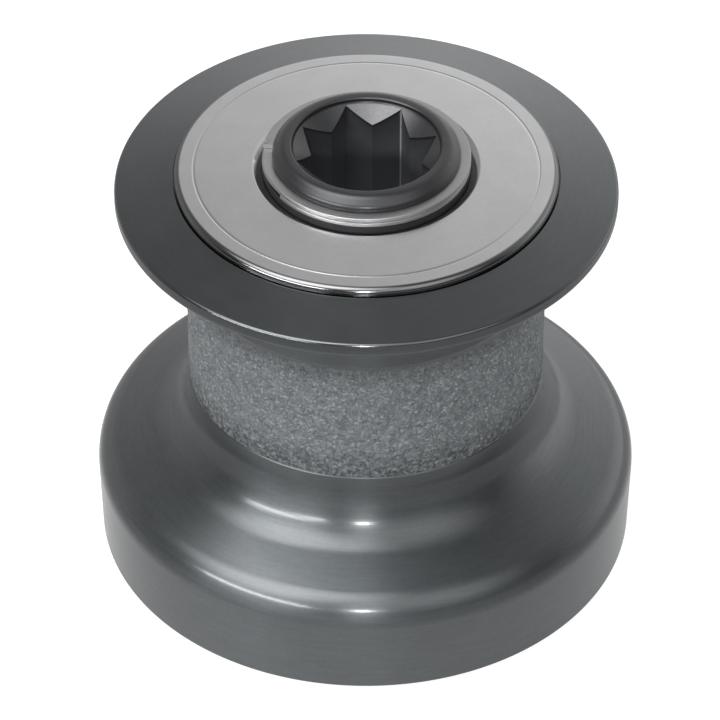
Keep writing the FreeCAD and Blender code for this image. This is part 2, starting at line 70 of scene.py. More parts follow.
# Grip band of the barrel
band_foot_h = 9.8
band_head_h = 12.2
band_head_slope = 1.6
band_depth = 0.25
grain_mean = 0.13
grain_swing = 0.05
grain_low = 0.02
grain_high = 0.24
grain_fine_spread = 0.75
grain_broad_spread = 2.2
grain_broad_share = 0.6
grain_columns = 760
grain_rows = 96
grain_edge_rows = 3
grain_seed = 7

# Drum, inside
skirt_cavity_r = 44.4
skirt_shelf_z = 9.0
ring_seat_r = 39.2
ring_seat_z = 17.5
web_step_r = 33.2
web_z = 19.5
bore_r = 24.05
deck_under_z = 64.25
neck_bush_r = 18.0
neck_bush_top_z = 74.0
neck_hole_r = 16.3
spigot_r = 17.6
spigot_top_z = 77.3

# Top cap
cap_r = 32.75
cap_seat_r = 32.95
cap_seat_z = 75.0
cap_top_z = 78.0
cap_round = 1.05
cap_crown = 1.0
cap_crown_rows = 14
cap_crown_drop = 0.25
cap_hole_r = 17.8
cap_dish_r = 19.3
cap_dish_z = 77.45
cap_line_r = 29.4
cap_line_w = 0.36
cap_line_z = 77.93
cap_line_margin = 0.5

# Top washer and two-turn retaining ring
washer_in_r = 16.0
washer_out_r = 17.5
washer_low_z = 77.35
washer_top_z = 78.85
washer_round = 0.2
ring_in_r = 15.05
ring_out_r = 17.7
ring_z = 78.95
ring_turn_t = 0.82
ring_turn_rise = 0.88
ring_edge_round = 0.2
ring_jog_start = 157.0
ring_jog = 39.0
ring_end_gap = 2.5
ring_notch_r = 0.7

# Spindle head
neck_r = 15.9
lip_low_z = 80.7
lip_foot_w = 1.0
lip_side_h = 0.75
lip_side_round = 1.3
lip_crown_r = 14.35
lip_crown_round = 1.7
lip_top_z = 82.9
mouth_r = 12.75
mouth_round = 0.38
mouth_fillet = 0.8
mouth_edge_z = 82.13
mouth_slope = 38.1
cone_lead = 1.0
handle_af = 17.6
socket_low_z = 54.05
skin = 0.09
mouth_lift = 0.07
liner_t = 0.5
liner_drop = 1.0
# Painted highlight down one outer corner of the star.
highlit_corner = 45.0
highlit_corner_w = 0.5
# Painted reflection: one facet of the countersink is painted pale.
reflecting_facet = 67.5
reflecting_half_w = 22.5
plain_facet_tone = 0.04

# Mesh fineness
drum_columns = 480
small_columns = 384
star_columns = 16 * 24
ring_columns = 680
cone_rows = 8
big_arc_step = 3.0
small_arc_step = 9.0
big_arc_from = 2.0
edge_row_margin = 0.12
long_run = 4 * edge_row_margin
same_point = 0.0001
sharp_from = 30.0

# Finishes. The band's fades are shares of the way down it, from its head to its foot.
flange_blend_z = (71.5, 73.5)
# Painted shade: the flange's top is painted a little darker.
painted_flange_shade = 0.84
flange_roughness = 0.19
band_foot_fade = (0.74, 0.97)
band_facet_fade = 0.16
band_shade_fade = 0.2
band_shade = 0.66
glossier_edge = 0.06
# Painted dark reflection on the cap's rounded edge.
painted_edge_reflection = 0.3
edge_blend_w = 0.3
socket_colour = (0.06, 0.062, 0.068)
# Colour of the painted highlight on one corner of the star.
highlight_colour = (0.5, 0.5, 0.5, 1.0)

# Camera
camera_turn = -16.5
camera_pitch = 40.18
camera_roll = 0.17
camera_back = 697.2
camera_right = -1.0
camera_up = 623.9
camera_lens = 261.2
sensor_w = 36.0
camera_near = 10.0
camera_far = 100000.0

# Room. A span holds the two ends of a blend, as cosines of the angle from an axis.
room_low = 1.05
room_overhead = 0.25
room_rise_span = (0.29, 0.97)
room_left = 0.45
room_left_span = (-0.32, 0.08)
room_front = 0.1
room_front_span = (-0.2, 0.4)
high_glow = {"azimuth": -59.0, "elevation": 66.0, "span": (0.85, 0.98), "falloff": 1.4, "level": 4.9}
right_glow = {"azimuth": 34.0, "elevation": 48.0, "span": (0.8, 1.0), "falloff": 1.5, "level": 1.4}

# Floor
floor_z = -0.1
floor_half_w = 3000.0
floor_grey = 0.3
floor_glow = 0.9
floor_glow_near = 0.43
floor_glow_far = 0.04
floor_glow_span = (62.0, 84.0)

# Lamps
lamp_distance = 1100.0
lamp_aim_z = 40.0
lamps = {
    "key_softbox": {"azimuth": -45.0, "elevation": 26.0, "width": 820.0, "height": 110.0, "power": 5.3},
    "front_lamp": {"azimuth": -1.0, "elevation": 26.0, "width": 80.0, "height": 80.0, "power": 2.3},
}


# Mesh tools

def corner_arc(before, corner, after, rounding):
    """Points of the arc that rounds a corner.

    Its centre lies on the corner's bisector, at rounding / sin(half the corner's angle). The points
    are centre + rounding * (cos t, sin t), with t in even steps between the two tangent points.
    """
    back = (before - corner) / np.linalg.norm(before - corner)
    onward = (after - corner) / np.linalg.norm(after - corner)
    half = math.acos(np.clip(back @ onward, -1.0, 1.0)) / 2
    bisector = (back + onward) / np.linalg.norm(back + onward)
    centre = corner + bisector * rounding / math.sin(half)
    start = corner + back * rounding / math.tan(half) - centre
    end = corner + onward * rounding / math.tan(half) - centre
    first = math.atan2(start[1], start[0])
    turn = (math.atan2(end[1], end[0]) - first + math.pi) % (2 * math.pi) - math.pi
    step = big_arc_step if rounding > big_arc_from else small_arc_step
    count = max(4, round(math.degrees(abs(turn)) / step) + 1)
    t = first + turn * np.linspace(0.0, 1.0, count)
    return centre + rounding * np.column_stack([np.cos(t), np.sin(t)])


def rounded_profile(corners):
    """Closed profile through (radius, height) or (radius, height, rounding) corners, as an array."""
    points = [np.array(corner[:2]) for corner in corners]
    runs = []
    for index, corner in enumerate(corners):
        if len(corner) > 2:
            after = points[(index + 1) % len(points)]
            runs.append(corner_arc(points[index - 1], points[index], after, corner[2]))
        else:
            runs.append(points[index][None])
    profile = np.vstack(runs)
    step = np.linalg.norm(profile - np.roll(profile, 1, axis=0), axis=1)
    return profile[step > same_point]


def with_edge_rows(profile):
    """Adds a point a margin away from both ends of each long straight run, to keep it shaded flat."""
    following = np.roll(profile, -1, axis=0)
    run = following - profile
    length = np.linalg.norm(run, axis=1)
    inset = run * (edge_row_margin / length)[:, None]
    stacked = np.stack([profile, profile + inset, following - inset], axis=1)
    long = length > long_run
    return stacked[np.column_stack([np.full(len(long), True), long, long])]


def swept_grid(radius, height, angle):
    """Grid of points (r cos t, r sin t, z) in metres, from radii, heights and angles in radians."""
    point = np.broadcast_arrays(radius * np.cos(angle), radius * np.sin(angle), height)
    return np.stack(point, axis=-1) * MM


def turned_grid(profile, columns):
    """Grid of a closed profile turned about Z in even steps."""
    angle = np.linspace(0.0, 2 * np.pi, columns, endpoint=False)
    return swept_grid(profile[:, :1], profile[:, 1:], angle)


def grid_object(name, grid, join_columns=True):
    """Mesh object on a grid of points whose rows join up.

    Face (i, j) has the corners (i, j), (i, j+1), (i+1, j+1) and (i+1, j). The columns join up too,
    or else the first and the last column are each closed by one face.
    """
    rows, columns = grid.shape[:2]
    index = np.arange(rows * columns).reshape(rows, columns)
    index = np.vstack([index, index[:1]])
    if join_columns:
        index = np.hstack([index, index[:, :1]])
    quads = np.stack([index[:-1, :-1], index[:-1, 1:], index[1:, 1:], index[1:, :-1]], axis=-1)
    corners = quads.reshape(-1)
    starts = np.arange(0, len(corners), 4)
    if not join_columns:
        starts = np.append(starts, [len(corners), len(corners) + rows])
        corners = np.concatenate([corners, index[:-1, 0], index[:-1, -1][::-1]])
    mesh = bpy.data.meshes.new(name)
    mesh.vertices.add(rows * columns)
    mesh.vertices.foreach_set("co", grid.reshape(-1).astype(np.float32))
    mesh.loops.add(len(corners))
    mesh.loops.foreach_set("vertex_index", corners.astype(np.int32))
    mesh.polygons.add(len(starts))
    mesh.polygons.foreach_set("loop_start", starts.astype(np.int32))
    mesh.update(calc_edges=True)
    mesh.validate()
    mesh.shade_smooth()
    mesh.set_sharp_from_angle(angle=math.radians(sharp_from))
    made = bpy.data.objects.new(name, mesh)
    bpy.context.scene.collection.objects.link(made)
    return made


def point_values(piece, name, values):
    """Stores one number per point of a piece as a named attribute, for its material to read."""
    attribute = piece.data.attributes.new(name, "FLOAT", "POINT")
    attribute.data.foreach_set("value", values.reshape(-1).astype(np.float32))


def smooth_noise(rows, columns, spread, draw):
    """Random field that joins up on all sides, with a standard deviation of 1.

    White noise is multiplied, in its Fourier transform, by the Gaussian exp(-2 (pi s f)^2).
    """
    field = np.fft.fft2(draw.standard_normal((rows, columns)))
    squared = np.fft.fftfreq(rows)[:, None] ** 2 + np.fft.fftfreq(columns)[None] ** 2
    field = np.fft.ifft2(field * np.exp(-2 * (np.pi * spread) ** 2 * squared)).real
    return field / field.std()


def shoulder_top_z():
    """Height at which the shoulder's slope would meet the barrel."""
    return skirt_corner_z + (skirt_r - barrel_r) * math.tan(math.radians(shoulder_slope))


def make_drum():
    """Skirt, shoulder, waisted barrel, flange and the bored inside, as one closed turned profile."""
    band_low = shoulder_top_z() + band_foot_h
    band_high = flange_under_z - band_head_h
    band_floor_r = barrel_r - band_depth
    horn_round = rim_r - rim_foot_round - barrel_r
    outside = [
        (skirt_cavity_r, deck_gap),
        (skirt_foot_r, deck_gap, skirt_foot_round),
        (skirt_r, skirt_corner_z, skirt_round),
        (barrel_r, shoulder_top_z(), root_round),
        (barrel_r, band_low),
        (band_floor_r, band_low + band_depth),
        (band_floor_r, band_high - band_head_slope),
        (barrel_r, band_high),
        (barrel_r, flange_under_z, horn_round),
        (rim_r, flange_under_z, rim_foot_round),
        (rim_r, rim_top_z, rim_top_round),
        (cap_seat_r, flange_top_z),
    ]
    inside = [
        (cap_seat_r, cap_seat_z),
        (spigot_r, cap_seat_z),
        (spigot_r, spigot_top_z),
        (neck_hole_r, spigot_top_z),
        (neck_hole_r, neck_bush_top_z),
        (neck_bush_r, neck_bush_top_z),
        (neck_bush_r, deck_under_z),
        (bore_r, deck_under_z),
        (bore_r, web_z),
        (web_step_r, web_z),
        (web_step_r, ring_seat_z),
        (ring_seat_r, ring_seat_z),
        (ring_seat_r, skirt_shelf_z),
        (skirt_cavity_r, skirt_shelf_z),
    ]
    profile = with_edge_rows(rounded_profile(outside + inside))
    return grid_object("drum_shell", turned_grid(profile, drum_columns))


def make_grip_band():
    """Blasted band in the barrel's recess.

    Its outer radius is the recess floor + grain_mean + grain_swing * a sum of two blurred random
    fields, faded to the mean near both edges. Two more rows close it inside the drum's wall.
    """
    low = shoulder_top_z() + band_foot_h + band_depth
    high = flange_under_z - band_head_h - band_head_slope / 2
    floor_r = barrel_r - band_depth
    draw = np.random.default_rng(grain_seed)
    grain = smooth_noise(grain_rows, grain_columns, grain_fine_spread, draw)
    grain += grain_broad_share * smooth_noise(grain_rows, grain_columns, grain_broad_spread, draw)
    row = np.arange(grain_rows)[:, None]
    from_edge = np.minimum(row, grain_rows - 1 - row) / grain_edge_rows
    relief = grain_mean + grain_swing * grain * np.clip(from_edge, 0.0, 1.0)
    relief = np.clip(relief, grain_low, grain_high)
    height = low + (high - low) * row / (grain_rows - 1)
    back = np.full((1, grain_columns), floor_r - band_depth)
    radius = np.vstack([back, floor_r + relief, back])
    height = np.vstack([[[low]], height, [[high]]])
    angle = np.linspace(0.0, 2 * np.pi, grain_columns, endpoint=False)
    piece = grid_object("grip_band", swept_grid(radius, height, angle))
    lowness = np.broadcast_to(1.0 - (height - low) / (high - low), radius.shape)
    point_values(piece, "lowness", lowness)
    return piece


def make_cap():
    """Disc with a rounded edge, an engraved ring and a dish round its hole, turned about Z.

    The top is crowned: it is raised by crown * (1 - (r / edge radius) squared) - drop.
    """
    half_line = cap_line_w / 2
    crown_r = np.linspace(cap_line_r - cap_line_margin, cap_dish_r, cap_crown_rows)
    profile = with_edge_rows(rounded_profile([
        (cap_hole_r, cap_seat_z),
        (cap_r, cap_seat_z),
        (cap_r, cap_top_z, cap_round),
        (cap_line_r + half_line, cap_top_z),
        (cap_line_r, cap_line_z),
        (cap_line_r - half_line, cap_top_z),
        *[(radius, cap_top_z) for radius in crown_r],
        (cap_hole_r, cap_dish_z),
    ]))
    on_top = (profile[:, 1] > cap_top_z - cap_round) & (profile[:, 0] > cap_dish_r - edge_row_margin)
    profile[:, 1] += on_top * (cap_crown * (1.0 - (profile[:, 0] / cap_r) ** 2) - cap_crown_drop)
    return grid_object("cap_disc", turned_grid(profile, drum_columns))


def make_washer():
    """Flat washer between the spigot and the retaining ring."""
    profile = rounded_profile([
        (washer_in_r, washer_low_z),
        (washer_out_r, washer_low_z),
        (washer_out_r, washer_top_z, washer_round),
        (washer_in_r, washer_top_z),
    ])
    return grid_object("washer_disc", turned_grid(profile, small_columns))


def make_retaining_ring():
    """Two turns of flat wire with rounded edges.

    The section goes round as t grows. Its height is raised by rise * s * s * (3 - 2 s), where s
    is t's share of the jog, and its outer side is cut in by a round notch near the top end.
    """
    section = rounded_profile([
        (ring_in_r, ring_z, ring_edge_round),
        (ring_out_r, ring_z, ring_edge_round),
        (ring_out_r, ring_z + ring_turn_t, ring_edge_round),
        (ring_in_r, ring_z + ring_turn_t, ring_edge_round),
    ])
    first = ring_jog_start + ring_jog + ring_end_gap
    last = ring_jog_start + 2 * 360.0 - ring_end_gap
    degrees = np.linspace(first, last, ring_columns)[None]
    share = np.clip((degrees - ring_jog_start - 360.0) / ring_jog, 0.0, 1.0)
    height = section[:, 1:] + ring_turn_rise * share ** 2 * (3 - 2 * share)
    notch_at = last - ring_end_gap
    off_notch = np.radians(degrees - notch_at) * ring_out_r
    notch = np.sqrt(np.clip(ring_notch_r ** 2 - off_notch ** 2, 0.0, None))
    outwardness = (section[:, :1] - ring_in_r) / (ring_out_r - ring_in_r)
    radius = section[:, :1] - notch * (outwardness > 0.5)
    grid = swept_grid(radius, height, np.radians(degrees))
    return grid_object("spiral_ring", grid, join_columns=False)


def star_radius(angle):
    """Radius of two crossed squares: half the flats / cos(45 degrees - the angle from a corner)."""
    eighth = math.pi / 4
    off_corner = np.abs((angle + eighth / 2) % eighth - eighth / 2)
    return handle_af / 2 / np.cos(eighth - off_corner)


def make_spindle_head():
    """Lip, countersunk mouth and star socket, as a skin over the spindle.

    The rows from the lip's foot to the mouth are turned. Below, the cone runs down to the height
    where it meets the star's wall at each angle, and the wall goes straight down from there. The
    turned profile's last corner lies down the cone, only to give the mouth's fillet its direction.
    """
    angle = np.linspace(0.0, 2 * np.pi, star_columns, endpoint=False)
    star_r = star_radius(angle)
    low = lip_low_z + skin
    top = lip_top_z + skin
    mouth_low_z = mouth_edge_z + mouth_lift
    fall = math.tan(math.radians(mouth_slope))
    outer = rounded_profile([
        (mouth_r + lip_foot_w, low),
        (neck_r + skin, low),
        (neck_r + skin, low + lip_side_h, lip_side_round),
        (lip_crown_r, top, lip_crown_round),
        (mouth_r - skin, top, mouth_round),
        (mouth_r - skin, mouth_low_z, mouth_fillet),
        (mouth_r - skin - cone_lead, mouth_low_z - cone_lead * fall),
    ])
    outer = with_edge_rows(outer[:-1])[:-2]
    meet_z = mouth_edge_z - (mouth_r - star_r) * fall
    down = np.linspace(0.0, 1.0, cone_rows + 1)[1:, None]
    cone_r = outer[-1, 0] + (star_r - skin - outer[-1, 0]) * down
    cone_z = outer[-1, 1] + (meet_z + mouth_lift - outer[-1, 1]) * down
    wall_z = np.vstack([meet_z - edge_row_margin, np.full_like(star_r, socket_low_z)])
    wall_r = np.vstack([star_r, star_r]) - skin
    liner_r = np.vstack([star_r, star_r]) + liner_t
    liner_z = np.vstack([np.full_like(star_r, socket_low_z), meet_z - liner_drop])
    turned_r = np.repeat(outer[:, :1], star_columns, axis=1)
    turned_z = np.repeat(outer[:, 1:], star_columns, axis=1)
    radius = np.vstack([liner_r, turned_r, cone_r, wall_r])
    height = np.vstack([liner_z, turned_z, cone_z, wall_z])
    piece = grid_object("spindle_head", swept_grid(radius, height, angle))
    # Painted reflection: one facet of the countersink gets a pale tone, and the others a faint share of it.
    machined_and_painted_sheen = np.zeros(radius.shape)
    cone_from = len(liner_r) + len(turned_r) - 1
    reflecting = np.abs(np.degrees(angle) - reflecting_facet) < reflecting_half_w
    machined_and_painted_sheen[cone_from:cone_from + len(cone_r) + 1] = np.where(reflecting, 1.0, plain_facet_tone)
    point_values(piece, "machined_and_painted_sheen", machined_and_painted_sheen)
    # Depth in the socket, for the painted light that grows towards its bottom.
    depth = np.clip((meet_z.min() - height) / (meet_z.min() - socket_low_z), 0.0, 1.0)
    point_values(piece, "depth", depth * (radius < mouth_r))
    # Painted highlight: a narrow mark down one outer corner of the star's wall.
    off_mark = np.degrees(np.abs(angle - math.radians(highlit_corner)))
    brightened = np.zeros(radius.shape)
    brightened[-len(wall_r):] = off_mark < highlit_corner_w
    point_values(piece, "brightened", brightened)
    return piece


# Shader tools

def node(tree, kind, inputs=None, **settings):
    """Adds a shader node. Its inputs are given as values, or as sockets that are linked."""
    made = tree.nodes.new("ShaderNode" + kind)
    for name, value in settings.items():
        setattr(made, name, value)
    for name, value in (inputs or {}).items():
        socket = made.inputs[name]
        if isinstance(value, bpy.types.NodeSocket):
            tree.links.new(value, socket)
        else:
            socket.default_value = value
    return made


def math_node(tree, operation, *values, clamp=False):
    """Output of a Math node."""
    return node(tree, "Math", dict(enumerate(values)), operation=operation, use_clamp=clamp).outputs[0]


def remap(tree, value, low, high, new_low, new_high):
    """Output of a Map Range node, clamped."""
    inputs = {"Value": value, "From Min": low, "From Max": high, "To Min": new_low, "To Max": new_high}
    return node(tree, "MapRange", inputs).outputs["Result"]


def mix_colour(tree, share, first, second, blend="MIX"):
    """Output of a colour Mix node."""
    return node(tree, "Mix", {0: share, 6: first, 7: second}, data_type="RGBA", blend_type=blend).outputs[2]


def new_group(name, inputs, outputs):
    """Shader node group with named number inputs and number outputs."""
    group = bpy.data.node_groups.new(name, "ShaderNodeTree")
    for socket_name, default in inputs.items():
        socket = group.interface.new_socket(socket_name, in_out="INPUT", socket_type="NodeSocketFloat")
        socket.default_value = default
    for socket_name in outputs:
        group.interface.new_socket(socket_name, in_out="OUTPUT", socket_type="NodeSocketFloat")
    given = group.nodes.new("NodeGroupInput").outputs
    result = group.nodes.new("NodeGroupOutput").inputs
    return group, given, result


def object_place(tree):
    """Object coordinates."""
    return node(tree, "TexCoord").outputs["Object"]


def scaled_place(tree, size):
    """Object coordinates divided by a size in metres."""
    share = math_node(tree, "DIVIDE", 1.0, size)
    return node(tree, "VectorMath", {0: object_place(tree), "Scale": share}, operation="SCALE").outputs[0]


def axis_distance(tree):
    """Distance from the drum's axis, in metres."""
    xyz = node(tree, "SeparateXYZ", {0: object_place(tree)}).outputs
    flat = node(tree, "CombineXYZ", {"X": xyz["X"], "Y": xyz["Y"]}).outputs[0]
    return node(tree, "VectorMath", {0: flat}, operation="LENGTH").outputs["Value"]


def turning_group():
    """Concentric tool lines: noise over (distance from the axis, height) / pitch."""
    group, given, result = new_group("turning_lines", {"Pitch": 0.3 * MM}, ["Height", "Tone"])
    height = node(group, "SeparateXYZ", {0: object_place(group)}).outputs["Z"]
    line = node(group, "CombineXYZ", {"X": axis_distance(group), "Y": height}).outputs[0]
    share = math_node(group, "DIVIDE", 1.0, given["Pitch"])
    line = node(group, "VectorMath", {0: line, "Scale": share}, operation="SCALE").outputs[0]
    noise = node(group, "TexNoise", {"Vector": line, "Scale": 1.0, "Detail": 3.0, "Roughness": 0.6})
    group.links.new(noise.outputs["Fac"], result["Height"])
    group.links.new(remap(group, noise.outputs["Fac"], 0.3, 0.7, 0.0, 1.0), result["Tone"])
    return group


def arc_group():
    """Brushed marks that run round the axis: four-dimensional noise over direction, height and radius.

    The direction (x, y) / radius is scaled by the marks' count, the other two by 1 / pitch.
    """
    group, given, result = new_group("brushed_arcs", {"Count": 8.0, "Pitch": 0.35 * MM}, ["Tone"])
    xyz = node(group, "SeparateXYZ", {0: object_place(group)}).outputs
    flat = node(group, "CombineXYZ", {"X": xyz["X"], "Y": xyz["Y"]}).outputs[0]
    level = node(group, "VectorMath", {0: flat}, operation="NORMALIZE").outputs[0]
    level = node(group, "VectorMath", {0: level, "Scale": given["Count"]}, operation="SCALE").outputs[0]
    rise = math_node(group, "DIVIDE", xyz["Z"], given["Pitch"])
    up = node(group, "CombineXYZ", {"Z": rise}).outputs[0]
    place = node(group, "VectorMath", {0: level, 1: up}, operation="ADD").outputs[0]
    across = math_node(group, "DIVIDE", axis_distance(group), given["Pitch"])
    noise = node(group, "TexNoise", {"Vector": place, "W": across, "Scale": 1.0, "Detail": 3.0},
                 noise_dimensions="4D")
    group.links.new(remap(group, noise.outputs["Fac"], 0.32, 0.68, 0.0, 1.0), result["Tone"])
    return group


def cloud_group():
    """Soft uneven tone: three-dimensional noise mapped to 1 - amount ... 1 + amount."""
    group, given, result = new_group("cloudy_tone", {"Size": 6 * MM, "Amount": 0.06}, ["Factor", "Cloud"])
    place = scaled_place(group, given["Size"])
    noise = node(group, "TexNoise", {"Vector": place, "Scale": 1.0, "Detail": 4.0, "Roughness": 0.55})
    cloud = remap(group, noise.outputs["Fac"], 0.3, 0.7, -1.0, 1.0)
    swing = math_node(group, "MULTIPLY", cloud, given["Amount"])
    group.links.new(math_node(group, "ADD", swing, 1.0), result["Factor"])
    group.links.new(noise.outputs["Fac"], result["Cloud"])
    return group


def grit_group():
    """Blasted grain: fine noise for the height, cell noise for bright facets and dark pits."""
    group, given, result = new_group("blasted_grain", {"Size": 0.3 * MM}, ["Height", "Facets", "Pits"])
    place = scaled_place(group, given["Size"])
    noise = node(group, "TexNoise", {"Vector": place, "Scale": 1.0, "Detail": 3.0, "Roughness": 0.65})
    cells = node(group, "TexVoronoi", {"Vector": place, "Scale": 0.9, "Randomness": 1.0})
    tone = node(group, "SeparateColor", {0: cells.outputs["Color"]}).outputs
    height = math_node(group, "MULTIPLY_ADD", tone[0], 0.5, noise.outputs["Fac"])
    group.links.new(height, result["Height"])
    group.links.new(remap(group, tone[1], 0.82, 1.0, 0.0, 1.0), result["Facets"])
    group.links.new(remap(group, noise.outputs["Fac"], 0.5, 0.32, 0.0, 1.0), result["Pits"])
    return group


def wear_group():
    """Rubbed edges: how far a small bevel would turn the surface, broken up by noise."""
    group, given, result = new_group("rubbed_edges", {"Width": 0.2 * MM, "Amount": 1.0}, ["Mask"])
    bevel = node(group, "Bevel", {"Radius": given["Width"]}, samples=4).outputs[0]
    normal = node(group, "NewGeometry").outputs["Normal"]
    facing = node(group, "VectorMath", {0: bevel, 1: normal}, operation="DOT_PRODUCT").outputs["Value"]
    edge = remap(group, facing, 0.995, 0.85, 0.0, 1.0)
    place = scaled_place(group, 0.8 * MM)
    noise = node(group, "TexNoise", {"Vector": place, "Scale": 1.0, "Detail": 2.0}).outputs["Fac"]
    broken = math_node(group, "MULTIPLY", edge, remap(group, noise, 0.35, 0.6, 0.3, 1.0))
    group.links.new(math_node(group, "MULTIPLY", broken, given["Amount"], clamp=True), result["Mask"])
    return group


effects = {
    "turning": turning_group(),
    "arcs": arc_group(),
    "clouds": cloud_group(),
    "grit": grit_group(),
    "wear": wear_group(),
}


def effect(tree, name, **values):
    """Places a shared effect with its own values and gives its outputs."""
    made = node(tree, "Group", node_tree=effects[name])
    for socket, value in values.items():
        made.inputs[socket].default_value = value
    return made.outputs


def new_material(name, **constants):
    """Material with a Principled shader, whose constants are set on its own sockets."""
    material = bpy.data.materials.new(name)
    material.use_nodes = True
    tree = material.node_tree
    shader = tree.nodes["Principled BSDF"]
    for socket, value in constants.items():
        shader.inputs[socket.replace("_", " ")].default_value = value
    return material, tree, shader.inputs


def toned(tree, colour, *factors):
    """Colour multiplied by uneven factors."""
    result = (*colour, 1.0)
    for factor in factors:
        scale = node(tree, "CombineXYZ", {"X": factor, "Y": factor, "Z": factor}).outputs[0]
        result = mix_colour(tree, 1.0, result, scale, blend="MULTIPLY")
    return result


def bumped(tree, height, depth, normal=None):
    """Normal of a Bump node whose height is in units of a depth in metres."""
    inputs = {"Height": height, "Distance": depth, "Strength": 1.0}
    if normal is not None:
        inputs["Normal"] = normal
    return node(tree, "Bump", inputs).outputs[0]


# Finishes

def anodised_finish(name, colour, roughness, pitch, line_depth):
    """Hard-anodised aluminium: cloudy satin tone, fine turning lines, faintly rubbed edges.

    The anisotropy is turned a quarter, so that the sheen spreads across the turning lines. The
    oxide skin is a thin glossier coat. The flange's top is finer, and painted a little darker than the
    rest as painted shade.
    """
    material, tree, sockets = new_material(
        name, Metallic=0.9, Anisotropic=0.85, Anisotropic_Rotation=0.25,
        Coat_Weight=1.0, Coat_Roughness=0.18)
    lines = effect(tree, "turning", Pitch=pitch)
    broad = effect(tree, "clouds", Size=9 * MM, Amount=0.04)
    fine = effect(tree, "clouds", Size=0.7 * MM, Amount=0.05)
    worn = effect(tree, "wear", Width=0.25 * MM, Amount=0.35)["Mask"]
    arcs = effect(tree, "arcs", Count=8.0, Pitch=0.4 * MM)["Tone"]
    arc_tone = remap(tree, arcs, 0.0, 1.0, 0.93, 1.07)
    height = node(tree, "SeparateXYZ", {0: object_place(tree)}).outputs["Z"]
    blend_low, blend_high = (z * MM for z in flange_blend_z)
    # Painted shade: the flange's top is painted a little darker.
    painted_top_shade = remap(tree, height, blend_low, blend_high, 1.0, painted_flange_shade)
    base = toned(tree, colour, broad["Factor"], fine["Factor"], arc_tone, painted_top_shade)
    brightened = tuple(1.7 * channel for channel in colour) + (1.0,)
    tree.links.new(mix_colour(tree, worn, base, brightened), sockets["Base Color"])
    satin = remap(tree, height, blend_low, blend_high, roughness, flange_roughness)
    swing = remap(tree, broad["Cloud"], 0.3, 0.7, -0.02, 0.02)
    tree.links.new(math_node(tree, "ADD", satin, swing), sockets["Roughness"])
    peel = bumped(tree, fine["Cloud"], 2 * MICRON)
    tree.links.new(bumped(tree, lines["Height"], line_depth, peel), sockets["Normal"])
    return material


def blasted_finish(name, colour):
    """Blasted band: speckled grey, bright facets and dark pits.

    It is coarser and darker towards its foot. Near its head, below the flange, it has painted shade
    and no bright facets.
    """
    material, tree, sockets = new_material(name, Metallic=0.75)
    grain = effect(tree, "grit", Size=0.36 * MM)
    coarse = effect(tree, "grit", Size=0.62 * MM)
    sand = effect(tree, "clouds", Size=0.42 * MM, Amount=0.36)
    patches = effect(tree, "clouds", Size=1.6 * MM, Amount=0.2)
    lowness = node(tree, "Attribute", attribute_name="lowness").outputs["Fac"]
    foot = remap(tree, lowness, *band_foot_fade, 0.0, 1.0)
    head = remap(tree, lowness, 0.0, band_facet_fade, 0.0, 1.0)
    shade = remap(tree, lowness, 0.0, band_shade_fade, band_shade, 1.0)
    speckle = effect(tree, "clouds", Size=0.75 * MM, Amount=0.95)["Factor"]
    speckle = math_node(tree, "MULTIPLY_ADD", math_node(tree, "SUBTRACT", speckle, 1.0), foot, 1.0)
    base = toned(tree, colour, patches["Factor"], sand["Factor"], shade, speckle)
    light = tuple(2.3 * channel for channel in colour) + (1.0,)
    dark = tuple(0.35 * channel for channel in colour) + (1.0,)
    facets = math_node(tree, "MULTIPLY", grain["Facets"], head)
    base = mix_colour(tree, math_node(tree, "MULTIPLY", facets, 0.55), base, light)
    base = mix_colour(tree, math_node(tree, "MULTIPLY", grain["Pits"], 0.45), base, dark)
    low_pits = math_node(tree, "MULTIPLY", coarse["Pits"], foot)
    base = mix_colour(tree, math_node(tree, "MULTIPLY", low_pits, 0.9), base, dark)
    base = mix_colour(tree, math_node(tree, "MULTIPLY", foot, 0.4), base, dark)
    tree.links.new(base, sockets["Base Color"])
    tree.links.new(remap(tree, grain["Facets"], 0.0, 1.0, 0.62, 0.35), sockets["Roughness"])
    under = bumped(tree, coarse["Height"], 45 * MICRON)
    tree.links.new(bumped(tree, grain["Height"], 60 * MICRON, under), sockets["Normal"])
    return material


def steel_finish(name, colour, roughness, pitch, line_depth, wear=0.2, spread=0.3, edge_from=None):
    """Bare stainless steel: fine lines, cloudy gloss and slightly brighter edges.

    Beyond the distance edge_from from the axis, where one is given, it is glossier, and painted
    darker as a painted dark reflection on the rounded edge.
    """
    material, tree, sockets = new_material(
        name, Metallic=1.0, Anisotropic=spread, Anisotropic_Rotation=0.25)
    lines = effect(tree, "turning", Pitch=pitch)
    broad = effect(tree, "clouds", Size=7 * MM, Amount=0.03)
    fine = effect(tree, "clouds", Size=0.5 * MM, Amount=0.02)
    worn = effect(tree, "wear", Width=0.15 * MM, Amount=wear)["Mask"]
    base = toned(tree, colour, broad["Factor"], fine["Factor"])
    brightened = tuple(min(1.0, 1.25 * channel) for channel in colour) + (1.0,)
    base = mix_colour(tree, worn, base, brightened)
    gloss = remap(tree, lines["Tone"], 0.0, 1.0, roughness - 0.02, roughness + 0.02)
    if edge_from:
        edge_to = edge_from + edge_blend_w * MM
        beyond = remap(tree, axis_distance(tree), edge_from, edge_to, 0.0, 1.0)
        # Painted dark reflection on the rounded edge beyond edge_from.
        dark = tuple(painted_edge_reflection * channel for channel in colour) + (1.0,)
        base = mix_colour(tree, beyond, base, dark)
        gloss = math_node(tree, "MULTIPLY_ADD", beyond, -glossier_edge, gloss)
    tree.links.new(base, sockets["Base Color"])
    tree.links.new(gloss, sockets["Roughness"])
    peel = bumped(tree, fine["Cloud"], 1 * MICRON)
    tree.links.new(bumped(tree, lines["Height"], line_depth, peel), sockets["Normal"])
    return material


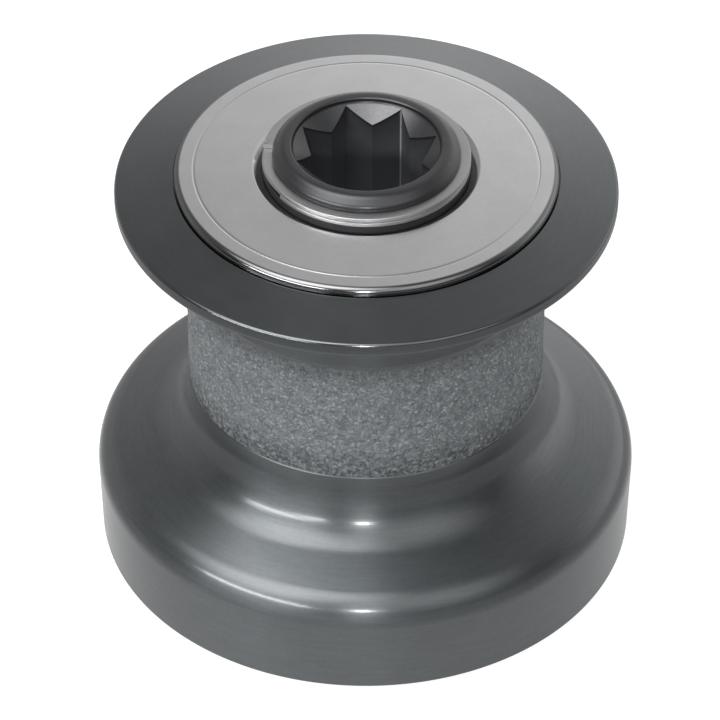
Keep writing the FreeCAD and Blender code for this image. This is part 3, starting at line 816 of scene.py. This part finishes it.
def bronze_finish(name, colour, roughness):
    """Machined bronze: warm uneven tone with darker tarnish and bright edges."""
    material, tree, sockets = new_material(name, Metallic=1.0)
    tarnish = effect(tree, "clouds", Size=2.5 * MM, Amount=0.14)
    fine = effect(tree, "clouds", Size=0.4 * MM, Amount=0.06)
    worn = effect(tree, "wear", Width=0.2 * MM, Amount=0.6)["Mask"]
    base = toned(tree, colour, tarnish["Factor"], fine["Factor"])
    brightened = tuple(min(1.0, 1.3 * channel) for channel in colour) + (1.0,)
    tree.links.new(mix_colour(tree, worn, base, brightened), sockets["Base Color"])
    gloss = remap(tree, tarnish["Cloud"], 0.3, 0.7, roughness + 0.08, roughness - 0.05)
    tree.links.new(gloss, sockets["Roughness"])
    tree.links.new(bumped(tree, fine["Cloud"], 4 * MICRON), sockets["Normal"])
    return material


def acetal_finish(name, colour, roughness):
    """Moulded or turned acetal: smooth, slightly mottled, with faint tool lines."""
    material, tree, sockets = new_material(name, Metallic=0.0, Specular_IOR_Level=0.45)
    lines = effect(tree, "turning", Pitch=0.25 * MM)
    broad = effect(tree, "clouds", Size=4 * MM, Amount=0.05)
    tree.links.new(toned(tree, colour, broad["Factor"]), sockets["Base Color"])
    gloss = remap(tree, broad["Cloud"], 0.3, 0.7, roughness - 0.05, roughness + 0.05)
    tree.links.new(gloss, sockets["Roughness"])
    tree.links.new(bumped(tree, lines["Height"], 5 * MICRON), sockets["Normal"])
    return material


def spindle_finish(name, colour, bright, roughness):
    """Dark satin steel. The countersink is rougher, and one facet of it is painted pale as a
    painted reflection. The socket is dull, and painted lighter towards its bottom as painted light.
    One outer corner of the star carries a painted highlight.
    """
    material, tree, sockets = new_material(name, Coat_Weight=0.7, Coat_Roughness=0.26)
    lines = effect(tree, "turning", Pitch=0.22 * MM)
    broad = effect(tree, "clouds", Size=6 * MM, Amount=0.06)
    fine = effect(tree, "clouds", Size=0.35 * MM, Amount=0.1)
    machined_and_painted_sheen = node(tree, "Attribute", attribute_name="machined_and_painted_sheen").outputs["Fac"]
    depth = node(tree, "Attribute", attribute_name="depth").outputs["Fac"]
    base = toned(tree, colour, broad["Factor"], fine["Factor"])
    # Painted reflection on one facet of the countersink.
    painted_sheen = toned(tree, bright, fine["Factor"], broad["Factor"])
    base = mix_colour(tree, machined_and_painted_sheen, base, painted_sheen)
    inner = remap(tree, depth, 0.0, 0.02, 0.0, 1.0)
    # Painted light: the socket is painted lighter towards its bottom.
    painted_depth_light = remap(tree, depth, 0.0, 0.6, 0.6, 2.3)
    base = mix_colour(tree, inner, base, toned(tree, socket_colour, fine["Factor"], painted_depth_light))
    # Painted highlight down one outer corner of the star.
    brightened = node(tree, "Attribute", attribute_name="brightened").outputs["Fac"]
    base = mix_colour(tree, brightened, base, highlight_colour)
    tree.links.new(base, sockets["Base Color"])
    tree.links.new(remap(tree, inner, 0.0, 1.0, 0.8, 0.2), sockets["Metallic"])
    gloss = remap(tree, lines["Tone"], 0.0, 1.0, roughness - 0.03, roughness + 0.03)
    rough = math_node(tree, "MULTIPLY_ADD", machined_and_painted_sheen, 0.22, gloss)
    tree.links.new(rough, sockets["Roughness"])
    sparkle = math_node(tree, "MULTIPLY", fine["Cloud"], machined_and_painted_sheen)
    coarse = bumped(tree, sparkle, 60 * MICRON)
    tree.links.new(bumped(tree, lines["Height"], 1 * MICRON, coarse), sockets["Normal"])
    return material


slot_colour = {item["slot"]: tuple(item["base_color"]) for item in frame["record"]["materials"]}
slot_of_node = {item["node"]: item["material_slot"] for item in frame["record"]["subparts"]}

finish_of_slot = {
    "drum_grey": anodised_finish(
        "drum_anodised", (0.116, 0.127, 0.133),
        roughness=0.42, pitch=0.3 * MM, line_depth=3 * MICRON),
    "base_grey": anodised_finish(
        "base_anodised", slot_colour["base_grey"],
        roughness=0.5, pitch=0.6 * MM, line_depth=9 * MICRON),
    # bright is the pale colour of the painted reflection on one countersink facet.
    "spindle_grey": spindle_finish(
        "spindle_steel", (0.046, 0.047, 0.050),
        bright=(0.19, 0.19, 0.196), roughness=0.4),
    "cap_steel": steel_finish(
        "cap_satin", (0.68, 0.68, 0.69),
        roughness=0.22, pitch=0.25 * MM, line_depth=0.15 * MICRON, spread=0.35, edge_from=31.7 * MM),
    "ring_steel": steel_finish(
        "ring_spring_steel", (0.44, 0.44, 0.445),
        roughness=0.4, pitch=0.2 * MM, line_depth=0.2 * MICRON, wear=0.0, spread=0.0),
    "keeper_steel": steel_finish(
        "keeper_plate", slot_colour["keeper_steel"],
        roughness=0.38, pitch=0.4 * MM, line_depth=5 * MICRON),
    "screw_steel": steel_finish(
        "screw_turned", slot_colour["screw_steel"],
        roughness=0.3, pitch=0.15 * MM, line_depth=4 * MICRON),
    "ratchet_bronze": bronze_finish("ratchet_machined", slot_colour["ratchet_bronze"], roughness=0.36),
    "pawl_bronze": bronze_finish("pawl_ground", slot_colour["pawl_bronze"], roughness=0.3),
    "spring_leaf": steel_finish(
        "spring_strip", slot_colour["spring_leaf"],
        roughness=0.3, pitch=0.3 * MM, line_depth=2 * MICRON),
    "acetal_black": acetal_finish("acetal_dark", (0.012, 0.012, 0.013), roughness=0.5),
    "acetal_white": acetal_finish("acetal_natural", slot_colour["acetal_white"], roughness=0.45),
    "roller_steel": steel_finish(
        "roller_ground", slot_colour["roller_steel"],
        roughness=0.2, pitch=0.2 * MM, line_depth=1 * MICRON),
}
band_finish = blasted_finish("band_blasted", (0.30, 0.322, 0.334))

for name, item in frame["nodes"].items():
    for material_slot in item.material_slots:
        material_slot.material = finish_of_slot[slot_of_node[name]]


def dress(piece, body, slot, finish=None, replaced=()):
    """Gives a piece its finish, its slot's own unless another is given, and its body, and hides the nodes
    that it stands for.
    """
    piece.data.materials.append(finish or finish_of_slot[slot])
    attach(piece, body)
    if replaced:
        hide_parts(*replaced)


dress(make_drum(), "drum", "drum_grey", replaced=["drum"])
dress(make_grip_band(), "drum", "drum_grey", finish=band_finish)
dress(make_cap(), "drum", "cap_steel", replaced=["top_cap"])
dress(make_washer(), "spindle", "acetal_black", replaced=["top_washer"])
dress(make_retaining_ring(), "spindle", "ring_steel", replaced=["retaining_ring"])
dress(make_spindle_head(), "spindle", "spindle_grey")

# Studio
turn = math.radians(camera_turn)
towards_camera = Vector((math.sin(turn), -math.cos(turn), 0.0))
to_the_right = Vector((math.cos(turn), math.sin(turn), 0.0))


def add_camera():
    """The photograph's view."""
    data = bpy.data.cameras.new("camera")
    data.sensor_width = sensor_w
    data.lens = camera_lens
    data.clip_start = camera_near * MM
    data.clip_end = camera_far * MM
    camera = bpy.data.objects.new("camera", data)
    place = towards_camera * camera_back + to_the_right * camera_right + Vector((0, 0, camera_up))
    camera.location = place * MM
    tilt = math.radians(90.0 - camera_pitch)
    look = Euler((tilt, 0.0, turn)).to_quaternion()
    rolled = look @ Quaternion((0.0, 0.0, 1.0), math.radians(camera_roll))
    camera.rotation_euler = rolled.to_euler()
    bpy.context.scene.collection.objects.link(camera)
    bpy.context.scene.camera = camera


def from_camera(azimuth, elevation):
    """Unit vector at an azimuth from the camera, positive to its right, and an elevation."""
    side = math.radians(azimuth)
    rise = math.radians(elevation)
    level = towards_camera * math.cos(side) + to_the_right * math.sin(side)
    return level * math.cos(rise) + Vector((0, 0, math.sin(rise)))


def add_softbox(name, azimuth, elevation, width, height, power):
    """Area lamp at a place round the drum, aimed at it."""
    direction = from_camera(azimuth, elevation)
    lamp = bpy.data.lights.new(name, "AREA")
    lamp.shape = "RECTANGLE"
    lamp.size = width * MM
    lamp.size_y = height * MM
    lamp.energy = power
    made = bpy.data.objects.new(name, lamp)
    made.location = (direction * lamp_distance + Vector((0, 0, lamp_aim_z))) * MM
    made.rotation_euler = (-direction).to_track_quat("-Z", "Y").to_euler()
    made.visible_camera = False
    bpy.context.scene.collection.objects.link(made)


def along(tree, direction, axis):
    """Part of a direction that lies along an axis."""
    return node(tree, "VectorMath", {0: direction, 1: axis}, operation="DOT_PRODUCT").outputs["Value"]


def add_world():
    """Room: white for the camera. Mirrored, it is pale behind the drum and dimmer elsewhere.

    The level falls with the rise, to the left of the drum and towards the camera. A soft glow
    stands high on the left, and a weaker one on the right. A glow is its level * share ** falloff,
    where the share grows with the cosine of the angle from the glow's middle.
    """
    world = bpy.data.worlds.new("room")
    bpy.context.scene.world = world
    world.use_nodes = True
    tree = world.node_tree
    tree.nodes.clear()
    direction = node(tree, "TexCoord").outputs["Generated"]
    rise = node(tree, "SeparateXYZ", {0: direction}).outputs["Z"]
    wall = remap(tree, rise, *room_rise_span, room_low, room_overhead)
    sideways = along(tree, direction, to_the_right)
    backwards = along(tree, direction, -towards_camera)
    left_share = remap(tree, sideways, *room_left_span, room_left, 1.0)
    front_share = remap(tree, backwards, *room_front_span, room_front, 1.0)
    level = math_node(tree, "MULTIPLY", wall, left_share)
    level = math_node(tree, "MULTIPLY", level, front_share)
    for glow in (high_glow, right_glow):
        near = along(tree, direction, from_camera(glow["azimuth"], glow["elevation"]))
        share = remap(tree, near, *glow["span"], 0.0, 1.0)
        share = math_node(tree, "POWER", share, glow["falloff"])
        level = math_node(tree, "MULTIPLY_ADD", share, glow["level"], level)
    room = node(tree, "Background", {"Color": (1, 1, 1, 1), "Strength": level}).outputs[0]
    white = node(tree, "Background", {"Color": (1, 1, 1, 1), "Strength": 1.0}).outputs[0]
    rays = node(tree, "LightPath").outputs
    seen = math_node(tree, "MAXIMUM", rays["Is Camera Ray"], rays["Is Transmission Ray"])
    mixed = node(tree, "MixShader", {0: seen, 1: room, 2: white}).outputs[0]
    out = node(tree, "OutputWorld")
    tree.links.new(mixed, out.inputs["Surface"])


def add_floor():
    """Pale floor that the camera sees as white, with the drum's soft shadow.

    Mirrored, it glows faintly near the drum and less further out. It is clear from below.
    """
    size = floor_half_w * MM
    mesh = bpy.data.meshes.new("floor")
    corners = [(-size, -size, 0), (size, -size, 0), (size, size, 0), (-size, size, 0)]
    mesh.from_pydata(corners, [], [(0, 1, 2, 3)])
    floor = bpy.data.objects.new("floor", mesh)
    floor.location.z = floor_z * MM
    bpy.context.scene.collection.objects.link(floor)
    material = bpy.data.materials.new("floor_pale")
    material.use_nodes = True
    tree = material.node_tree
    tree.nodes.clear()
    grey = (floor_grey, floor_grey, floor_grey, 1.0)
    diffuse = node(tree, "BsdfDiffuse", {"Color": grey}).outputs[0]
    glow = node(tree, "Emission", {"Color": (1, 1, 1, 1), "Strength": floor_glow}).outputs[0]
    lit = node(tree, "AddShader", {0: diffuse, 1: glow}).outputs[0]
    rays = node(tree, "LightPath").outputs
    near, far = (distance * MM for distance in floor_glow_span)
    level = remap(tree, axis_distance(tree), near, far, floor_glow_near, floor_glow_far)
    mirrored = math_node(tree, "MULTIPLY", rays["Is Glossy Ray"], level)
    shown = math_node(tree, "MAXIMUM", rays["Is Camera Ray"], mirrored)
    shown = math_node(tree, "MAXIMUM", shown, rays["Is Transmission Ray"])
    above = node(tree, "MixShader", {0: shown, 1: diffuse, 2: lit}).outputs[0]
    below = node(tree, "NewGeometry").outputs["Backfacing"]
    clear = node(tree, "BsdfTransparent").outputs[0]
    mixed = node(tree, "MixShader", {0: below, 1: above, 2: clear}).outputs[0]
    out = node(tree, "OutputMaterial")
    tree.links.new(mixed, out.inputs["Surface"])
    mesh.materials.append(material)


add_camera()
add_world()
add_floor()
for name, lamp in lamps.items():
    add_softbox(name, **lamp)

bpy.context.scene.view_settings.view_transform = "Standard"
